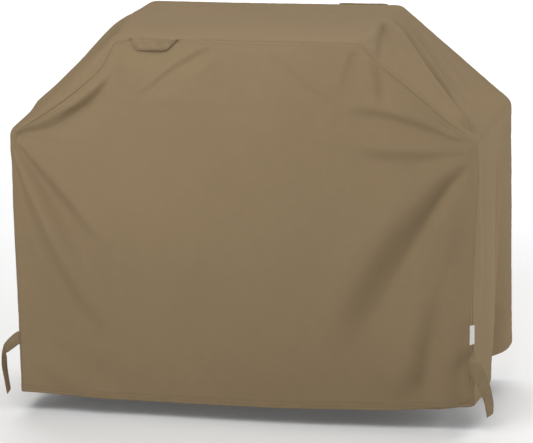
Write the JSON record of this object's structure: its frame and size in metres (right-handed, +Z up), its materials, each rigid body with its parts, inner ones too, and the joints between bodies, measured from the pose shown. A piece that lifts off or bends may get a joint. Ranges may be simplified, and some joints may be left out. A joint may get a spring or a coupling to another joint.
{
  "type": "grill cover",
  "caption": "Fitted fabric cover for a wheeled barbecue, flat-topped with sloping shoulders, with carry handles and tie-down straps, open underneath.",
  "frame": {"origin": "on the underside of the flat top, in the middle of the cover's width and depth, where it hangs on the grill's lid", "axes": "+X to the right as seen from the front, +Y from the front panel to the back panel, +Z up"},
  "size_m": [1.5396, 0.6569, 1.1133],
  "materials": {
    "cover_cloth": "matte",
    "strap_cloth": "matte",
    "thread": "satin",
    "seam_tape": "satin",
    "padding": "matte",
    "grip_tape": "matte",
    "label_cloth": "satin"
  },
  "bodies": {
    "cover": {"front_panel": "cover_cloth", "back_panel": "cover_cloth", "crown_band": "cover_cloth", "bottom_hem": "cover_cloth", "front_seam_tape": "seam_tape", "back_seam_tape": "seam_tape", "front_seam_stitching": "thread", "back_seam_stitching": "thread", "hem_stitching": "thread"},
    "front_handle": {"front_handle_sleeve": "cover_cloth", "front_handle_padding": "padding", "front_handle_stitching": "thread", "front_handle_bartacks": "thread"},
    "back_handle": {"back_handle_sleeve": "cover_cloth", "back_handle_padding": "padding", "back_handle_stitching": "thread", "back_handle_bartacks": "thread"},
    "left_strap_base": {"left_strap_root": "strap_cloth", "left_strap_bartack": "thread", "left_strap_loop_tape": "grip_tape"},
    "left_strap_end": {"left_strap_tail": "strap_cloth", "left_strap_hook_tape": "grip_tape", "left_strap_stitching": "thread"},
    "right_strap_base": {"right_strap_root": "strap_cloth", "right_strap_bartack": "thread", "right_strap_loop_tape": "grip_tape"},
    "right_strap_end": {"right_strap_tail": "strap_cloth", "right_strap_hook_tape": "grip_tape", "right_strap_stitching": "thread"},
    "label": {"side_label": "label_cloth", "side_label_stitching": "thread"}
  },
  "joints": [
    {"name": "front_handle_lift", "type": "hinge", "parent": "cover", "child": "front_handle", "pos_m": [-0.256, -0.31, 0.0012], "axis": [-1, 0, 0], "range_deg": [0, 170]},
    {"name": "back_handle_lift", "type": "hinge", "parent": "cover", "child": "back_handle", "pos_m": [0.256, 0.31, 0.0012], "axis": [1, 0, 0], "range_deg": [0, 170]},
    {"name": "left_strap_swing", "type": "hinge", "parent": "cover", "child": "left_strap_base", "pos_m": [-0.7, -0.31, -0.93], "axis": [0, 0, 1], "range_deg": [-60, 150]},
    {"name": "left_strap_bend", "type": "hinge", "parent": "left_strap_base", "child": "left_strap_end", "pos_m": [-0.7611, -0.31, -0.9668], "axis": [0, 1, 0], "range_deg": [0, 150]},
    {"name": "right_strap_swing", "type": "hinge", "parent": "cover", "child": "right_strap_base", "pos_m": [0.7, -0.31, -0.93], "axis": [0, 0, 1], "range_deg": [-40, 90]},
    {"name": "right_strap_bend", "type": "hinge", "parent": "right_strap_base", "child": "right_strap_end", "pos_m": [0.709, -0.325, -0.9288], "axis": [-1, 0, 0], "range_deg": [0, 150]},
    {"name": "label_flip", "type": "hinge", "parent": "cover", "child": "label", "pos_m": [0.7, -0.31, -0.85], "axis": [0, 0, 1], "range_deg": [0, 180]}
  ]
}
